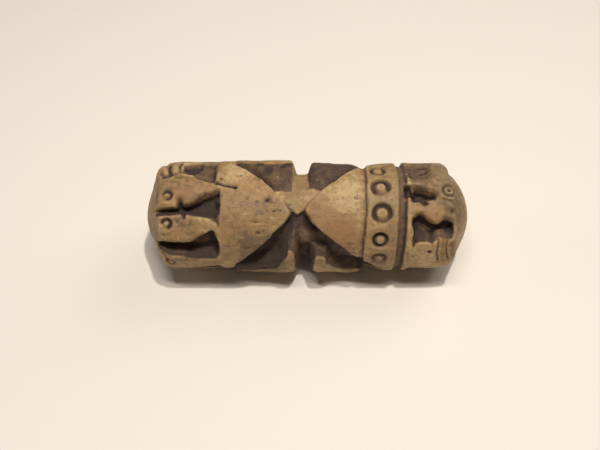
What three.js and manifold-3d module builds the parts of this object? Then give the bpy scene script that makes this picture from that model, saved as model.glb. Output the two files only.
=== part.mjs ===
// A solid fired-clay roller seal, lying on its side.
//
// A round core with domed ends carries deep relief. Two large bells on each side of the core point at
// each other across a waist groove, sunk diagonal bands part them from the wedges beside them, and a ring
// of animal heads with ring-and-dot eyes closes each end of the carving.
//
// Lengths are millimetres. The long axis runs along X, +Z is up, and the seal rests on Z = 0.
// A turn is an angle in degrees round the long axis: 0 is the middle of the front bells, and it grows
// over the top towards the back.

import * as THREE from 'three';
import { mergeVertices } from 'three/addons/utils/BufferGeometryUtils.js';
import Module from 'manifold-3d';

const wasm = await Module();
wasm.setup();

// ---- Driving dimensions ----

const HALF_LENGTH = 40;
const CORE_RADIUS = 10;
const CARVED_RADIUS = 13.6;
const HEAD_RADIUS = 13.45;
const BURIED_RADIUS = 8.6; // how deep a raised panel is rooted in the core
const CLEAR_RADIUS = 15.5; // how far panels and cutters stand out before they are trimmed
const CLEAR = [[0, CLEAR_RADIUS]];

const FRONT_LEAN = 52; // the front bells look this far up from the horizontal
const REST_FLAT_WIDTH = 7;
const AXIS_HEIGHT = Math.sqrt(CARVED_RADIUS ** 2 - (REST_FLAT_WIDTH / 2) ** 2);

const LEFT_DOME_RADIUS = 12.5;
const RIGHT_DOME_RADIUS = 14;
const HALF_TURN = 180;
const ROUND_FACETS = 44;
const FACET_TURN = 360 / ROUND_FACETS;
const BLOCK_TURN = 12; // the most that one facet of a panel or cutter covers
const WALL_DRAFT = 0.5; // how far a carved wall leans back over its height
const LEAST_TURN = 1; // the narrowest a panel or cutter may taper to

// ---- Helpers: turns, edges and solids ----

/** A point on the seal, from its place along the axis, its turn and its radius. */
function onSeal(x, turn, radius) {
  const angle = THREE.MathUtils.degToRad(turn + FRONT_LEAN);
  return new THREE.Vector3(x, -radius * Math.cos(angle), AXIS_HEIGHT + radius * Math.sin(angle));
}

/** The second value at a place, from points [place, value] in order of place. */
function valueAt(points, place) {
  const next = points.findIndex(([pointPlace]) => pointPlace >= place);
  if (next === -1) return points.at(-1)[1];
  if (next === 0) return points[0][1];
  const [place0, value0] = points[next - 1];
  const [place1, value1] = points[next];
  return THREE.MathUtils.mapLinear(place, place0, place1, value0, value1);
}

/** Every place along the axis where either edge has a corner. */
function stationsOf(low, high) {
  const places = [...low, ...high].map(([x]) => x);
  return [...new Set(places)].sort((a, b) => a - b);
}

/** A solid for joining and cutting, from a three.js geometry. */
function toSolid(geometry) {
  geometry.deleteAttribute('normal');
  geometry.deleteAttribute('uv');
  const merged = mergeVertices(geometry, 1e-4);
  return new wasm.Manifold(new wasm.Mesh({
    numProp: 3,
    vertProperties: new Float32Array(merged.attributes.position.array),
    triVerts: new Uint32Array(merged.index.array),
  }));
}

/** A three.js geometry, from a solid. */
function toGeometry(solid) {
  const mesh = solid.getMesh();
  const geometry = new THREE.BufferGeometry();
  geometry.setAttribute('position', new THREE.BufferAttribute(new Float32Array(mesh.vertProperties), 3));
  geometry.setIndex(new THREE.BufferAttribute(new Uint32Array(mesh.triVerts), 1));
  geometry.computeVertexNormals();
  return geometry;
}

/** A body turned about the long axis, from its outline [x, radius], which starts and ends on the axis. */
function turnedBody(outline) {
  const profile = outline.map(([x, radius]) => new THREE.Vector2(radius, x));
  const body = new THREE.LatheGeometry(profile, ROUND_FACETS);
  body.rotateZ(-Math.PI / 2);
  body.rotateX(THREE.MathUtils.degToRad(FACET_TURN / 2));
  body.translate(0, 0, AXIS_HEIGHT);
  return toSolid(body);
}

/** The outline of a domed end from its apex out to the core, as points [x, radius]. */
function domeOutline(apexX, domeRadius, steps) {
  const inward = -Math.sign(apexX);
  const widest = Math.asin(CORE_RADIUS / domeRadius);
  return Array.from({ length: steps + 1 }, (_, i) => {
    const angle = (widest * i) / steps;
    return [apexX + inward * domeRadius * (1 - Math.cos(angle)), domeRadius * Math.sin(angle)];
  });
}

/**
 * A block bent round the seal between two edges, which are points [x, turn]. Its outer surface follows
 * points [turn, radius]. Its walls lean by draft between the core and the carved surface, and a positive
 * draft makes the block wider below.
 */
function bentBlock({ low, high, inner, outer, draft }) {
  const stations = stationsOf(low, high);
  const last = stations.length - 1;
  const widest = Math.max(...stations.map((x) => valueAt(high, x) - valueAt(low, x)));
  const facets = Math.max(2, Math.ceil(widest / BLOCK_TURN));
  const block = new THREE.BoxGeometry(1, 1, 1, last, facets, 1);
  const position = block.attributes.position;
  for (let i = 0; i < position.count; i += 1) {
    const column = Math.round((position.getX(i) + 0.5) * last);
    const x = stations[column];
    const middle = (valueAt(high, x) + valueAt(low, x)) / 2;
    const reach = valueAt(high, x) - valueAt(low, x);
    const radius = position.getZ(i) > 0 ? valueAt(outer, middle + reach * position.getY(i)) : inner;
    const spread = (draft * (CARVED_RADIUS - radius)) / (CARVED_RADIUS - CORE_RADIUS);
    const spreadTurn = THREE.MathUtils.radToDeg(spread / CARVED_RADIUS);
    const turn = middle + Math.max(reach + 2 * spreadTurn, LEAST_TURN) * position.getY(i);
    const end = column === 0 ? -spread : column === last ? spread : 0;
    position.setXYZ(i, ...onSeal(x + end, turn, radius));
  }
  return toSolid(block);
}

/** A panel that stands up from the core. */
function raisedPanel(low, high, outer, draft) {
  return bentBlock({ low, high, inner: BURIED_RADIUS, outer, draft });
}

/** A cutter that sinks a hollow down to the radius of its floor. */
function sunkHollow(low, high, floor) {
  return bentBlock({ low, high, inner: floor, outer: CLEAR, draft: -WALL_DRAFT });
}

/** The same edge, moved round by a turn. */
function turned(corners, turn) {
  return corners.map(([x, cornerTurn]) => [x, cornerTurn + turn]);
}

/** A cutter for a mark pressed with a reed: a round groove that leaves a boss in its middle. */
function reedMark(x, turn, outerRadius, bossRadius, depth, facets) {
  const floor = CARVED_RADIUS - depth;
  const profile = [
    new THREE.Vector2(bossRadius, floor),
    new THREE.Vector2(outerRadius, floor),
    new THREE.Vector2(outerRadius, CLEAR_RADIUS),
    new THREE.Vector2(bossRadius, CLEAR_RADIUS),
    new THREE.Vector2(bossRadius, floor),
  ];
  const mark = new THREE.LatheGeometry(profile, facets);
  const outward = onSeal(0, turn, 1).sub(onSeal(0, turn, 0));
  mark.applyQuaternion(new THREE.Quaternion().setFromUnitVectors(new THREE.Vector3(0, 1, 0), outward));
  mark.translate(x, 0, AXIS_HEIGHT);
  return toSolid(mark);
}

// ---- The core, the outer skin and the two rings that the heads are carved from ----

const DOME_STEPS = 4;
const LEFT_RING = { end: -36.4, shoulder: -35.2, bell: -21.3, inner: -17.5 };
const RIGHT_RING = { end: 35.8, shoulder: 34.6, bell: 24.8, inner: 18 };
const RING_END_RADIUS = 11.6;
const RING_TOE_RADIUS = 13.1; // the rings fall away a little at their outer ends
const RING_GROOVES = [
  { from: 12.1, to: 13.9, depth: 0.6 },
  { from: 21.2, to: 23.3, depth: 0.9 },
];
const GROOVE_LEAN = 0.3;

function makeCore() {
  return turnedBody([
    ...domeOutline(-HALF_LENGTH, LEFT_DOME_RADIUS, DOME_STEPS),
    ...domeOutline(HALF_LENGTH, RIGHT_DOME_RADIUS, DOME_STEPS).reverse(),
  ]);
}

/** The outer surface that every bell and head is trimmed to, with the ring grooves turned into it. */
function makeSkin() {
  const grooves = RING_GROOVES.flatMap(({ from, to, depth }) => [
    [from, CARVED_RADIUS],
    [from + GROOVE_LEAN, CARVED_RADIUS - depth],
    [to - GROOVE_LEAN, CARVED_RADIUS - depth],
    [to, CARVED_RADIUS],
  ]);
  return turnedBody([
    [LEFT_RING.end, 0],
    [LEFT_RING.end, RING_END_RADIUS],
    [LEFT_RING.shoulder, RING_TOE_RADIUS],
    [LEFT_RING.bell, HEAD_RADIUS],
    [LEFT_RING.bell, CARVED_RADIUS],
    ...grooves,
    [RIGHT_RING.bell, CARVED_RADIUS],
    [RIGHT_RING.bell, HEAD_RADIUS],
    [RIGHT_RING.shoulder, RING_TOE_RADIUS],
    [RIGHT_RING.end, RING_END_RADIUS],
    [RIGHT_RING.end, 0],
  ]);
}

function makeRing({ end, inner }) {
  const outline = [
    [end * 1.05, 0],
    [end * 1.05, CLEAR_RADIUS],
    [inner, CLEAR_RADIUS],
    [inner - Math.sign(inner) * WALL_DRAFT, BURIED_RADIUS],
    [inner, 0],
  ];
  return turnedBody(end < inner ? outline : outline.reverse());
}

// ---- The bells ----

const BELLS = [
  { tip: -4.1, base: -21.6, middle: 3, tipTurn: 6, spread: 4.4 },
  { tip: -0.5, base: 22.3, middle: 5, tipTurn: 7, spread: 3.85 },
];
const BELL_STATIONS = 6;
const WIDEST_BELL = 86; // half the turn a bell covers where it meets its ring

/** A bell on the front or the back: its two edges run out straight from a blunt tip. */
function makeBell({ tip, base, middle, tipTurn, spread }, turn) {
  const stride = (base - tip) / (BELL_STATIONS - 1);
  const places = Array.from({ length: BELL_STATIONS }, (_, i) => tip + stride * i);
  const halfAt = (x) => Math.min(tipTurn + spread * Math.abs(x - tip), WIDEST_BELL);
  const low = places.map((x) => [x, middle - halfAt(x)]).sort((a, b) => a[0] - b[0]);
  const high = places.map((x) => [x, middle + halfAt(x)]).sort((a, b) => a[0] - b[0]);
  return raisedPanel(turned(low, turn), turned(high, turn), CLEAR, WALL_DRAFT);
}

// ---- The four wedges beside the waist groove ----

// Each wedge climbs from the waist's floor along its ramp, points [turn, radius]. The lower two stand
// a little prouder than the rest of the carving.
const WEDGE_DRAFT = 0.95;
const WEDGES = [
  {
    low: [[-17, 86], [-11.5, 64], [-9, 46], [-7, 34], [-3.85, 32]],
    high: [[-17, 98], [-12, 108], [-8, 118], [-3.85, 128]],
    ramp: [[32, 10.3], [55, 11.7], [68, 13.1], [77, 13.8]],
  },
  {
    low: [[1.4, 38], [4, 36], [8, 60], [11, 76], [13.5, 86]],
    high: [[1.4, 130], [6, 118], [10, 106], [13.5, 98]],
    ramp: [[36, 10.3], [60, 12], [72, 12.9], [80, 13.1]],
  },
  {
    low: [[-16, -98], [-9.9, -108], [-6.6, -120], [-3.3, -134]],
    high: [[-16, -73], [-11.4, -63], [-8.6, -57], [-6.5, -49], [-4.1, -26], [-3.3, -18]],
    ramp: [
      [-134, 13.5], [-112, 14.2], [-86, 14.2], [-74, 13.7], [-46, 13.7], [-37, 13.1], [-26, 11.8], [-18, 10.4],
    ],
  },
  {
    low: [[1.7, -140], [5.5, -122], [9.4, -106], [13.5, -99]],
    high: [[1.7, -42], [3.6, -46], [4.6, -61], [7.2, -77], [13.5, -95]],
    ramp: [[-140, 13.5], [-112, 14.2], [-86, 14.2], [-74, 13.7], [-52, 13.7], [-46, 13.1], [-41, 12.1]],
  },
];

// ---- The hollows between the heads ----

const HEAD_FLOOR = 9.75;

// Each hollow is bounded by the head below it (low) and the head above it (high).
const LEFT_FRONT_HOLLOWS = [
  {
    low: [[-37, 1.5], [-29.7, 2], [-29.2, -3], [-28.7, 1.5], [-20.9, 0]],
    high: [
      [-37, 9], [-35, 6.8], [-30.9, 7.7], [-30.3, 17.5], [-29.2, 10], [-27.8, 11], [-25.2, 20], [-20.9, 26],
    ],
  },
  {
    low: [[-37, -37], [-34.8, -39.7], [-33.6, -44.4], [-27.3, -49.7], [-21.1, -49.7]],
    high: [[-37, -31.5], [-28, -30.5], [-22.7, -16], [-21.9, -17.5], [-21.1, -35]],
  },
];

const RIGHT_FRONT_HOLLOWS = [
  {
    low: [[24.8, 15], [26.7, 15], [28.8, 17], [30.5, 17]],
    high: [[24.8, 31], [27.5, 29], [28.8, 24], [30.5, 22]],
  },
  {
    low: [[25.1, -34], [25.8, -27.6], [28.4, -26.2], [29.2, -29], [30.1, -27], [31.2, -22], [34.8, -23]],
    high: [[25.1, -3], [26.6, 1], [27.5, -0.7], [30.2, -8], [32.2, -2], [33.3, -4], [34.8, -10]],
  },
];

// Shallower hollows, worn or cut part of the way to the core.
const SHELVES = [
  { floor: 11.6, low: [[-27.4, 0], [-23.6, -5.3], [-20.9, -12.3]], high: [[-27.4, 4], [-20.9, 4]] },
  {
    floor: 12.2,
    low: [[-30.4, 47], [-27.5, 43.5], [-24.5, 38], [-21.5, 34]],
    high: [[-30.4, 62], [-28, 72], [-24, 76], [-21.5, 74]],
  },
  { floor: 10.8, low: [[-29.6, 56], [-27.7, 49], [-25.7, 56]], high: [[-29.6, 66], [-25.7, 73]] },
  { floor: 11.4, low: [[23.1, 20], [24.1, 19]], high: [[23.1, 33.5], [24.1, 32]] },
  {
    floor: 12.3,
    low: [[23.6, 44], [25.5, 36.5], [29.6, 37]],
    high: [[23.6, 68], [25.5, 74], [28, 73], [29.6, 69]],
  },
];

// Unseen hollows repeat one plain outline.
const PLAIN_LEFT_TURNS = [-82, -128, -172, 142, 100];
const PLAIN_RIGHT_TURNS = [-86, -130, -172, 144, 98];

function plainLeftHollow(turn) {
  return {
    low: turned([[-37, -5], [-31.5, -5], [-30.3, -10], [-28.8, -5], [-26, -8], [-21.2, -15]], turn),
    high: turned([[-37, 5], [-30, 5], [-26, 7], [-21.2, 15]], turn),
  };
}

function plainRightHollow(turn) {
  return {
    low: turned([[25, -12], [28.5, -11], [30.5, -8], [34.6, -9]], turn),
    high: turned([[25, 10], [27.5, 10], [30, 6], [32.5, 9], [34.6, 5]], turn),
  };
}

// ---- The reed marks: dots on the right bells and the eyes of the heads ----

const DOT = { depth: 0.75, facets: 12 };
const DOTS = [
  { x: 16.9, turn: 54.6, outerRadius: 2.1, bossRadius: 1.1 },
  { x: 17.3, turn: 29.5, outerRadius: 2.4, bossRadius: 1.2 },
  { x: 17.5, turn: 1.5, outerRadius: 2.5, bossRadius: 1.25 },
  { x: 17.2, turn: -26.5, outerRadius: 2.1, bossRadius: 1.1 },
  { x: 17.2, turn: -51.5, outerRadius: 1.95, bossRadius: 1 },
];
const EYE = { outerRadius: 1.4, bossRadius: 0.6, depth: 0.6, facets: 8 };
const EYES = [
  [-33.3, 21], [-33.3, -9.4], [-33.3, -105], [-33.2, -150], [-33.3, 165], [-33.3, 121],
  [33.6, 26.8], [33.2, -108], [33.3, -151], [33.3, 166], [33.2, 121],
];

function makeMarks() {
  const dots = [0, HALF_TURN].flatMap((side) => DOTS.map(({ x, turn, outerRadius, bossRadius }) => (
    reedMark(x, turn + side, outerRadius, bossRadius, DOT.depth, DOT.facets)
  )));
  const eyes = EYES.map(([x, turn]) => (
    reedMark(x, turn, EYE.outerRadius, EYE.bossRadius, EYE.depth, EYE.facets)
  ));
  return [...dots, ...eyes];
}

// ---- The flat that the seal rests on ----

function makeRestFlat() {
  const block = new THREE.BoxGeometry(HALF_LENGTH * 2, CARVED_RADIUS, CARVED_RADIUS);
  block.translate(0, 0, -CARVED_RADIUS / 2);
  return toSolid(block);
}

// ---- The whole seal ----

function makeSeal() {
  const bellsAndHeads = [
    makeRing(RIGHT_RING),
    ...[0, HALF_TURN].flatMap((turn) => BELLS.map((bell) => makeBell(bell, turn))),
  ].reduce((whole, piece) => whole.add(piece), makeRing(LEFT_RING));
  const wedges = WEDGES.map(({ low, high, ramp }) => raisedPanel(low, high, ramp, WEDGE_DRAFT));
  const blank = [bellsAndHeads.intersect(makeSkin()), ...wedges]
    .reduce((whole, piece) => whole.add(piece), makeCore());

  const hollows = [
    ...LEFT_FRONT_HOLLOWS,
    ...RIGHT_FRONT_HOLLOWS,
    ...PLAIN_LEFT_TURNS.map(plainLeftHollow),
    ...PLAIN_RIGHT_TURNS.map(plainRightHollow),
  ];
  const cutters = [
    ...hollows.map(({ low, high }) => sunkHollow(low, high, HEAD_FLOOR)),
    ...SHELVES.map(({ low, high, floor }) => sunkHollow(low, high, floor)),
    ...makeMarks(),
    makeRestFlat(),
  ];
  return cutters.reduce((whole, cutter) => whole.subtract(cutter), blank);
}

const firedClay = new THREE.MeshStandardMaterial({ color: 0xa98661, roughness: 0.85, metalness: 0 });

const seal = new THREE.Mesh(toGeometry(makeSeal()), firedClay);
seal.name = 'seal';

const group = new THREE.Group();
group.add(seal);

export default group;
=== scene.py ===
"""A solid fired-clay roller seal lying on a pale table.

The seal is one piece of clay. Its relief is drawn as outlines on the unrolled surface, turned into a
field of distances and meshed. A Geometry Nodes tree weathers that mesh, and a clay finish dresses it.

Lengths in the relief are millimetres, and a turn is an angle in degrees round the long axis: 0 is the
middle of the front bells, and turns grow over the top towards the back. Blender objects are in metres.
"""

import logging
import math
from dataclasses import dataclass, field, replace
from enum import Enum
from functools import partial
from itertools import product
from typing import Callable, Iterator

import bpy
import numpy as np
from mathutils import Matrix, Vector


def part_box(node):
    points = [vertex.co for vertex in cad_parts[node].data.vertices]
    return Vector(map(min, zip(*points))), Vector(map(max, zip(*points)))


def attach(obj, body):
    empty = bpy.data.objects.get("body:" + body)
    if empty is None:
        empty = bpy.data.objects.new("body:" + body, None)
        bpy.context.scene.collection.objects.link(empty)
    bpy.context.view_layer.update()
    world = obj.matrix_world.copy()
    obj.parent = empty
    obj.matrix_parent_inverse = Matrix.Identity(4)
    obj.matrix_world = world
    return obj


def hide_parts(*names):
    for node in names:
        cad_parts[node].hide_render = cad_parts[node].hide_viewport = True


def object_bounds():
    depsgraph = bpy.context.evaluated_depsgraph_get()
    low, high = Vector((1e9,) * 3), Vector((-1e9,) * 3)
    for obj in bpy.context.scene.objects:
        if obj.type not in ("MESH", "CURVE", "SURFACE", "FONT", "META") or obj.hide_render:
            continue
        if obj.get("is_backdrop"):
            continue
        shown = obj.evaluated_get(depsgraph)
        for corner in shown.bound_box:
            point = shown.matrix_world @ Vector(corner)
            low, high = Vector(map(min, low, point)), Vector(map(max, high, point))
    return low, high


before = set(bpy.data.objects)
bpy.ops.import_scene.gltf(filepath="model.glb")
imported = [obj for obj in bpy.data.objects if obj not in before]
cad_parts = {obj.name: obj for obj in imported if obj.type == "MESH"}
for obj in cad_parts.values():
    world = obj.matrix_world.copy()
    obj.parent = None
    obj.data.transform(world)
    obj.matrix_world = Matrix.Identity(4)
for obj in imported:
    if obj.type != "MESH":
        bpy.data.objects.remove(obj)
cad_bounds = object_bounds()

log = logging.getLogger("seal")

Corner = tuple[float, float]
Colour = tuple[float, float, float]
Socket = bpy.types.NodeSocket
Array = np.ndarray

MM = 0.001
NODE = "seal"
BODY = "root"

CARVED_RADIUS = 13.6
HEAD_RADIUS = 13.45
CORE_RADIUS = 10.0
FRONT_LEAN = 52.0
REST_FLAT_WIDTH = 7.0
WAIST_SLANT = 3.4
AXIS_HEIGHT = math.sqrt(CARVED_RADIUS**2 - (REST_FLAT_WIDTH / 2) ** 2)
ARC_PER_TURN = CARVED_RADIUS * math.pi / 180
MIRROR_TURN = 180.0

HASH_AXES = (73856093, 19349663, 83492791)
HASH_SEED = 2654435761
HASH_ROUNDS = ((15, 739982445), (12, 695872825))
HASH_MASK = 0x7FFFFFFF


# ---------------------------------------------------------------- noise and blending


def cell_corners(base: Array, part: Array) -> Iterator[tuple[Array, Array]]:
    """Each corner of the cells that points lie in, with its weight.

    Args:
        base: The cells' lowest corners, as whole numbers.
        part: How far across its cell each point lies, from 0 to 1 on each axis.

    Yields:
        The corners of all the cells in one direction, and their weights.
    """
    for corner in product((0, 1), repeat=3):
        step = np.array(corner)
        yield base + step, np.where(step == 1, part, 1 - part).prod(axis=-1)


def lattice_noise(points: Array, scale: float, seed: int) -> Array:
    """Smooth noise over space, the same on every run.

    Args:
        points: Places, as an array whose last axis holds x, y and z.
        scale: The size of the noise's lumps, in the points' own unit.
        seed: Picks one noise among many.

    Returns:
        A number from -1 to 1 for each point.
    """
    cell = points / scale
    base = np.floor(cell).astype(np.int64)
    part = cell - base
    blend = part * part * (3 - 2 * part)
    total = np.zeros(points.shape[:-1])
    for lattice, weight in cell_corners(base, blend):
        mixed = np.bitwise_xor.reduce(lattice * np.array(HASH_AXES), axis=-1)
        mixed = (mixed ^ seed * HASH_SEED) & HASH_MASK
        for shift, factor in HASH_ROUNDS:
            mixed = (mixed ^ (mixed >> shift)) * factor & HASH_MASK
        mixed = mixed ^ (mixed >> HASH_ROUNDS[0][0])
        total += weight * (mixed / (HASH_MASK // 2) - 1)
    return total


def smooth_step(value: Array, low: float, high: float) -> Array:
    """0 below low, 1 above high, and a smooth rise between them."""
    share = np.clip((value - low) / (high - low), 0, 1)
    return share * share * (3 - 2 * share)


def turn_from(turn: Array, middle: float = 0.0) -> Array:
    """How far each turn is past a middle one, from -180 to 180 degrees."""
    return (turn - middle + 180) % 360 - 180


def falloff(away: Array, width: float) -> Array:
    """1 at no distance, falling smoothly to almost nothing at twice the width."""
    return np.exp(-((away / width) ** 2))


def soft_max(a: Array, b: Array, width: Array | float) -> Array:
    """The larger of two distances, with the corner where they meet rounded over a width."""
    gap = np.maximum(width - np.abs(a - b), 0) / width
    return np.maximum(a, b) + gap * gap * width / 4


def soft_min(a: Array, b: Array, width: Array | float) -> Array:
    """The smaller of two distances, with the corner where they meet filled over a width."""
    return -soft_max(-a, -b, width)


# ---------------------------------------------------------------- shapes drawn on the unrolled surface


@dataclass(frozen=True)
class Outline:
    """A closed shape on the unrolled surface, between a lower and an upper edge.

    Attributes:
        low: Corners (x, turn) of the lower edge, in order of x.
        high: Corners (x, turn) of the upper edge, in order of x.
    """

    low: tuple[Corner, ...]
    high: tuple[Corner, ...]

    def moved(self, turn: float) -> "Outline":
        """The same outline, moved round by a turn.

        Args:
            turn: How far to move it, in degrees.

        Returns:
            The moved outline.
        """
        return Outline(
            tuple((x, corner + turn) for x, corner in self.low),
            tuple((x, corner + turn) for x, corner in self.high),
        )

    def corners(self) -> Array:
        """The outline's corners (x, turn), once round."""
        return np.array([*self.low, *reversed(self.high)], float)


@dataclass(frozen=True)
class Wedge:
    """A raised wedge beside the waist.

    Attributes:
        outline: Its shape, with the ramp that leads up to it from the waist's floor.
        ramp: Its height, as pairs of a turn and the radius there.
    """

    outline: Outline
    ramp: tuple[Corner, ...]


@dataclass(frozen=True)
class Shelf:
    """An area sunk part of the way to the core.

    Attributes:
        depth: How far its middle is sunk, in millimetres.
        run: How far in from its edge it reaches that depth, in millimetres.
        rough: How far its floor rises and falls, in millimetres.
    """

    outline: Outline
    depth: float
    run: float = 0.8
    rough: float = 0.15


@dataclass(frozen=True)
class IncisedLine:
    """A thin line cut or cracked into the surface.

    Attributes:
        path: Points (x, turn) that the line runs through.
        width: Full width at the surface, in millimetres.
        depth: Depth at its middle, in millimetres.
    """

    path: tuple[Corner, ...]
    width: float = 0.5
    depth: float = 0.35


@dataclass(frozen=True)
class ReedMark:
    """A ring pressed with a hollow reed, with a boss left in its middle.

    Attributes:
        outer: The ring's outer radius, in millimetres.
        boss: The boss's radius, in millimetres.
        depth: How deep the ring is pressed, in millimetres.
        gap: The direction in which a worn ring fades out, in degrees from the long axis.
        fade: How far it fades there, from 0 to 1.
    """

    x: float
    turn: float
    outer: float = 1.45
    boss: float = 0.6
    depth: float = 0.7
    gap: float | None = None
    fade: float = 0.8


@dataclass(frozen=True)
class Pit:
    """A small dent, or with a negative depth a small lump."""

    x: float
    turn: float
    radius: float = 0.5
    depth: float = 0.4
    stretch: float = 1.0


class Tone(Enum):
    """What a patch of the surface has more of than the rest."""

    EARTH = "earth"
    WARMTH = "warmth"
    PALENESS = "paleness"


@dataclass(frozen=True)
class Patch:
    """A soft-edged patch that has more, or with a negative amount less, of one tone."""

    tone: Tone
    x: float
    turn: float
    along: float
    around: float
    amount: float


@dataclass(frozen=True)
class StainAndShade:
    """An area whose walls and slopes are darkened with earth and with painted shade, whatever their depth."""

    outline: Outline
    amount: float
    run: float = 0.6


@dataclass(frozen=True)
class Bell:
    """A bell whose edges run out straight from a blunt tip to its ring.

    Attributes:
        tip: The x of its tip.
        base: The x of its base.
        middle: The turn of its middle line.
        tip_turn: Half the turn that the blunt tip covers.
        spread: How many degrees each edge gains for each millimetre of length.
        blunt: The length over which the blunt tip opens out.
        least: Half the turn at the very tip.
        widest: The most that half the turn may be.
    """

    tip: float
    base: float
    middle: float
    tip_turn: float
    spread: float
    blunt: float = 0.5
    least: float = 1.5
    widest: float = 88.0
    stations: int = 12

    def outline(self, turn: float) -> Outline:
        """The bell's outline on the side at that turn.

        Args:
            turn: 0 for the front, or the turn of another side.

        Returns:
            The outline, with a corner at each station on both its edges.
        """
        places = np.linspace(self.tip, self.base, self.stations)
        along = np.abs(places - self.tip)
        grown = self.tip_turn * (1 - np.exp(-along / self.blunt)) + self.spread * along
        half = np.minimum(grown + self.least, self.widest)
        order = np.argsort(places)
        low = tuple((float(places[i]), float(self.middle + turn - half[i])) for i in order)
        high = tuple((float(places[i]), float(self.middle + turn + half[i])) for i in order)
        return Outline(low, high)


# ---------------------------------------------------------------- the carving


def many(kind: Callable, *rows: tuple) -> tuple:
    """One object of a kind for each row of its fields."""
    return tuple(kind(*row) for row in rows)


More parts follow.
